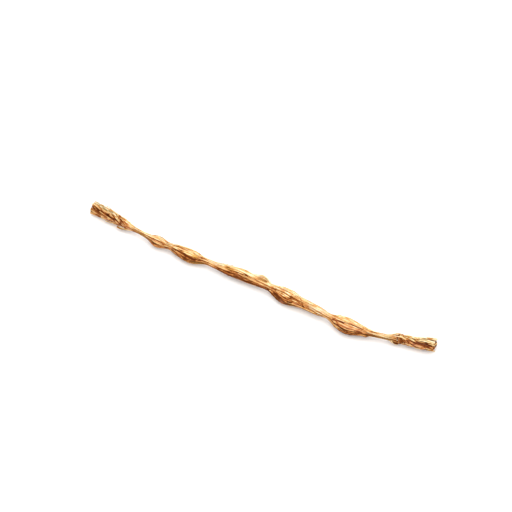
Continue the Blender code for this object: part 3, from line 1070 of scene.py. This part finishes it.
def build_brush_tree():
    (
        tree, line, foot, cut, thickness, hollow, weaving, late,
        ragged, slant, lift, spin, tips, fibres, seed, finish,
    ) = start_tree(
        "bind_brush", "Foot", "Cut", "Thickness", "Hollow", "Weaving", "Latest_Start",
        "Raggedness", "Slant", "Lift", "Spin", "Tip_Tint", Fibres="Int", Seed="Int",
    )
    fibre, number, share = straight_fibres(tree, fibres, FIBRE_POINTS)
    draw = draws(number, seed)

    inward = calculate("SIGN", foot - cut)
    ring = calculate("SQRT", hollow + (1.0 - hollow) * ((number + 0.5) / fibres))
    lateness = draw(1) * draw(2) * ring
    start = foot + inward * (START_DEPTH - lateness * late)
    shortness = larger(draw(3, low=-0.2), 0.0)
    lower_side = wave(number * GOLDEN_ANGLE + read_line(line, cut)("turn") + spin - LIT_EDGE)
    end = cut + inward * (shortness * ragged + DOME * ring * ring + slant * lower_side * ring)
    along = start + share * (end - start)
    travel = distance(along - start)
    value = read_line(line, along)

    own_thickness = thickness * draw(4, 0.6, 1.25)
    weave = noise(vector(along * 0.30, number * NOISE_STEP, 1.0)) - 0.5
    sway = noise(vector(along * 0.20, number * NOISE_STEP, 9.0)) - 0.5
    loose = ease(travel / (6.0 - 3.0 * lateness), 0.0, 1.0)
    ring_here = held(ring + weaving * weave * loose)
    light = ease(draw(6), DARK_FIBRES - DARK_BLEND, DARK_FIBRES + DARK_BLEND)
    room = value("half_thickness") - 0.5 * own_thickness
    spun = spin * ease(distance(along - foot), 0.0, SPIN_LENGTH)
    angle = number * GOLDEN_ANGLE + value("turn") + spun + (sway * SWAY + draw(5, -JITTER, JITTER)) * loose
    slits = noise(vector(sine(angle) * SLITS_ROUND, cosine(angle) * SLITS_ROUND, along * SLITS_ALONG))
    gap = fold_depth(along, angle, room, BRUSH_GAPS) + SLIT_DEPTH * ease(slits, *SLIT_EDGES)
    lifted = draw(7) * lift * ease(share, 0.5, 1.0)
    width = FOOT_WIDTH + (1.0 - FOOT_WIDTH) * loose
    out = room * ring_here * width * (0.88 + 0.12 * light) - 0.5 * gap + lifted
    # depth is painted shade: darker deep in the bundle and in the gaps and slits, less near the cut; topside
    # is painted light on the upper side.
    fibre = store(
        fibre,
        along=along,
        tint=0.72 * light + 0.28 * draw(8) + ease(share, 0.75, 1.0) * tips,
        depth=(1.0 - ring_here * ring_here) * (1.0 - 0.6 * ease(share, 0.90, 1.0)) + gap,
        olive_spots=fold_depth(along, angle, room, OLIVE_GAPS),
        pink_spots=bump_height(along, angle, room, PINK_FIBRES) * light,
        topside=painted_light_share(angle),
        half=own_thickness * (0.30 + 0.20 * ease(travel, 0.0, 3.0)),
    )
    placed = move(fibre, (value("middle") + outward_from(value, angle) * out) * MM)
    return end_fibres(placed, FIBRE_SIDES, named(tree, "along"), number, finish)


brush_tree = build_brush_tree()
print("nodes in the brush's tree:", len(brush_tree.nodes))

# %% Grow both brushes, each with loose fibres round it
CORNER = math.radians(75.0)
LEFT_END = {"Foot": FEET[0], "Cut": CUTS[0], "Spin": math.radians(-70.0)}
RIGHT_END = {"Foot": FEET[1], "Cut": CUTS[1], "Spin": math.radians(45.0)}
PACKED = {"Hollow": 0.0, "Lift": 0.0}
STRAY = {"Hollow": 0.9, "Weaving": 0.1, "Tip_Tint": 0.1}


def grow_fibres(name, mesh, tree, **sizes):
    """Fibres are smooth round their sides and have a sharp edge at a flat end."""
    piece = grow(name, mesh, tree, Material=dry_fibre, **sizes)
    face_outwards(piece)
    piece.data.set_sharp_from_angle(angle=CORNER)
    finish_piece(piece)


grow_fibres(
    "left_brush", root_line, brush_tree, **LEFT_END, **PACKED, Fibres=110, Thickness=0.46, Weaving=0.6,
    Latest_Start=9.0, Raggedness=1.3, Slant=0.2, Tip_Tint=0.0, Seed=11,
)
grow_fibres(
    "left_loose_fibres", root_line, brush_tree, **LEFT_END, **STRAY, Fibres=44, Thickness=0.34,
    Latest_Start=15.0, Raggedness=10.0, Slant=0.2, Lift=0.50, Seed=31,
)
grow_fibres(
    "right_brush", root_line, brush_tree, **RIGHT_END, **PACKED, Fibres=84, Thickness=0.52, Weaving=0.5,
    Latest_Start=7.0, Raggedness=0.7, Slant=0.9, Tip_Tint=0.15, Seed=23,
)
grow_fibres(
    "right_loose_fibres", root_line, brush_tree, **RIGHT_END, **STRAY, Fibres=26, Thickness=0.36,
    Latest_Start=12.0, Raggedness=8.0, Slant=0.5, Lift=0.35, Seed=37,
)

# %% [markdown]
# ## Strands that curl and wind
#
# A few strands leave the bundle: some wind round the foot of the right brush and make its knot, one hangs
# from it in a curl, one curls off the left brush, and one arches over the middle of the root. Each follows a
# path of a few points, given by how far along and how far round the root they are, so a path stays on the
# root. Geometry Nodes smooths the path and lays several thin plies round it, turning about each other as in
# a loose yarn.

# %% Where the strands run
# A strand is how light it is, mostly from 0 to 1, and then its points. Each point is (x, degrees, share of
# the root's radius, millimetres more).
STRAY_CURL = (0.20, (
    (-54.5, 100.0, 0.2, 0.0), (-57.0, 106.0, 0.8, 0.1), (-59.2, 108.0, 1.0, 0.15),
    (-61.0, 109.0, 1.0, 0.45), (-61.8, 104.0, 1.0, 0.45), (-61.3, 94.0, 1.0, 0.15),
))
ARCHED_STRAND = (0.90, (
    (-4.8, -54.0, 0.7, 0.0), (-2.0, -57.0, 1.0, 0.5), (-0.2, -58.0, 1.0, 1.3),
    (1.4, -58.0, 1.0, 1.35), (2.8, -58.0, 1.0, 1.0), (4.6, -58.0, 0.8, 0.0),
))
KNOT_CURL = (0.25, (
    (55.2, 96.0, 0.2, 0.0), (56.5, 106.0, 1.0, 0.0), (57.6, 114.0, 1.0, 0.2),
    (58.7, 116.0, 1.0, 0.1), (59.5, 104.0, 0.7, 0.0),
))
KNOT_HEART = (-0.3, (
    (55.8, 96.0, 0.5, 0.0), (57.0, 108.0, 1.0, 0.05), (58.2, 110.0, 1.0, 0.1), (59.4, 100.0, 0.6, 0.0),
))
# A wrap of the knot is how light it is, and where it starts and ends, as (x, degrees).
WRAPS = (
    (0.60, (56.3, -160.0), (59.3, 105.0)),
    (0.15, (57.6, -60.0), (60.8, 170.0)),
    (0.10, (61.0, -130.0), (57.2, 90.0)),
    (-0.1, (56.0, -120.0), (60.5, 120.0)),
    (0.15, (59.0, -100.0), (63.0, 60.0)),
)
WRAP_POINTS = 12
WRAP_SINK = 0.76


def wrap_path(lightness, start, end):
    """A path part of the way round the neck, sunk into it at both ends."""
    path = []
    for i in range(WRAP_POINTS):
        share = i / (WRAP_POINTS - 1)
        x, degrees = (a + share * (b - a) for a, b in zip(start, end))
        path.append((x, degrees, WRAP_SINK * (0.5 + 0.5 * math.sin(math.pi * share) ** 0.5), 0.0))
    return lightness, path


def chains(name, paths):
    """A mesh of open chains of points, one for each path, for Geometry Nodes to turn into curves."""
    points, links, lights = [], [], []
    for lightness, path in paths:
        first = len(points)
        for x, degrees, share, more in path:
            points.append(MM * point_at(x, degrees, 0.5 * thickness_at(x) * share + more))
            lights.append(lightness)
        links += [(i, i + 1) for i in range(first, len(points) - 1)]
    mesh = bpy.data.meshes.new(name)
    mesh.from_pydata(points, links, [])
    add_values(mesh, lightness=lights)
    return mesh


knot_paths = chains("knot_paths", [wrap_path(*wrap) for wrap in WRAPS])
curl_paths = chains("curl_paths", [KNOT_CURL, KNOT_HEART, STRAY_CURL, ARCHED_STRAND])
print("points on the knot's paths:", len(knot_paths.vertices), "and on the curls:", len(curl_paths.vertices))

# %% Build the strands' tree
STRAND_POINTS = 20
PATH_STEP = 31.0  # more than the plies of one path, so that each ply of each path has its own number
PLY_GRAIN = 12.0
PLY_TAPER = 0.14


def build_strand_tree():
    tree, paths, ply_thickness, spacing, turns, plies, seed, finish = start_tree(
        "lay_plies", "Ply_Thickness", "Spacing", "Turns", Plies="Int", Seed="Int"
    )
    path = add_node(tree, "GeometryNodeMeshToCurve", {"Mesh": paths})
    path = add_node(tree, "GeometryNodeCurveSplineType", {"Curve": path}, spline_type="CATMULL_ROM")
    path = add_node(tree, "GeometryNodeResampleCurve", {"Curve": path, "Count": STRAND_POINTS})
    ply = copies_of(store(path, domain="CURVE", path_number=add_node(tree, "GeometryNodeInputIndex")), plies)
    number, share = named(tree, "number") + PATH_STEP * named(tree, "path_number"), named(tree, "share")
    draw = draws(number, seed)

    tangent, normal = add_node(tree, "GeometryNodeInputTangent"), add_node(tree, "GeometryNodeInputNormal")
    turned = number * FULL_TURN / plies + share * turns * FULL_TURN + draw(1, -0.5, 0.5)
    round_about = normal * cosine(turned) + calculate("CROSS_PRODUCT", tangent, normal) * sine(turned)
    inputs = {"Geometry": ply, "Offset": round_about * (spacing * MM) * draw(2, 0.7, 1.2)}
    taper = 0.35 + 0.65 * ease(smaller(share, 1.0 - share), 0.0, PLY_TAPER)
    height = parts_of(add_node(tree, "GeometryNodeInputPosition"))[2]
    # topside here is painted light: the higher a ply lies over the table, the lighter it is painted.
    placed = store(
        add_node(tree, "GeometryNodeSetPosition", inputs),
        half=ply_thickness * 0.5 * taper * draw(3, 0.7, 1.15),
        tint=named(tree, "lightness") + draw(4, -0.6, 0.6),
        depth=0.0,
        topside=spread(height, 1.0 * MM, 4.5 * MM, 0.15, 0.85),
    )
    return end_fibres(placed, FIBRE_SIDES, share * PLY_GRAIN, number, finish)


strand_tree = build_strand_tree()
print("nodes in the strands' tree:", len(strand_tree.nodes))

# %% Wind the knot and the curls
grow_fibres(
    "knot_strands", knot_paths, strand_tree, Plies=6, Ply_Thickness=0.34, Spacing=0.28, Turns=1.2, Seed=3
)
grow_fibres(
    "curled_strands", curl_paths, strand_tree, Plies=4, Ply_Thickness=0.42, Spacing=0.24, Turns=0.8, Seed=5
)

# %% [markdown]
# ## Strands on the skin
#
# The skin of a dried root is made of strands that lift a little from it. They are laid like this: each
# strand gets a place to start, a length and an angle, and follows the ridges. From far outside, a ray is
# cast at the middle of the root, and where it hits the skin the strand's point is put. So the strand lies on
# every ridge and in every fold of the real surface. Each has few faces, because there are so many of them.

# %% Build the tree that lays strands on the skin
SKIN_STRAND_POINTS = 10
SKIN_STRAND_SIDES = 4
FAR_OUT = 2.0  # how far over the skin each ray starts
RAY_LENGTH = 8.0
DRIFT = 0.7
DRIFT_STEP = 5.1


def build_skin_strand_tree():
    tree, line, thickness, shortest, longest, lift, skin, strands, seed, finish = start_tree(
        "lay_skin_strands", "Thickness", "Shortest", "Longest", "Lift",
        Skin="Object", Strands="Int", Seed="Int",
    )
    strand, number, share = straight_fibres(tree, strands, SKIN_STRAND_POINTS)
    draw = draws(number, seed)

    start = draw(1, FEET[0] + 1.0, FEET[1] - 4.0)
    length = draw(2) * draw(3) * (longest - shortest) + shortest
    along = smaller(start + share * length, FEET[1] + 1.0)
    value = read_line(line, along)
    drift = (noise(vector(along * 0.12, number * DRIFT_STEP, 0.0)) - 0.5) * DRIFT
    angle = draw(4, 0.0, FULL_TURN) + drift + value("turn")
    outward = outward_from(value, angle)
    target = add_node(tree, "GeometryNodeObjectInfo", {"Object": skin}, transform_space="ORIGINAL")
    inputs = {
        "Target Geometry": also(target, "Geometry"),
        "Source Position": (value("middle") + outward * (value("half_thickness") + FAR_OUT)) * MM,
        "Ray Direction": outward * -1.0,
        "Ray Length": RAY_LENGTH * MM,
    }
    hit = also(add_node(tree, "GeometryNodeRaycast", inputs), "Hit Position")
    half = thickness * 0.5 * sine((0.04 + 0.92 * share) * math.pi) ** 0.5 * draw(5, 0.55, 1.2)
    raised = share ** 4.0 * draw(6) * draw(7) * lift
    light, depth = draw(8), 0.25 * draw(9)
    strand = store(strand, along=along, half=half, tint=light, depth=depth, topside=painted_light_share(angle))
    placed = move(strand, hit + outward * ((raised - 0.1 * half) * MM))
    return end_fibres(placed, SKIN_STRAND_SIDES, named(tree, "along"), number, finish)


skin_strand_tree = build_skin_strand_tree()
print("nodes in the tree:", len(skin_strand_tree.nodes))

# %% Lay the strands
grow_fibres(
    "skin_strands", root_line, skin_strand_tree, Skin=root_skin, Strands=150, Thickness=0.24,
    Shortest=4.0, Longest=26.0, Lift=0.35, Seed=7,
)
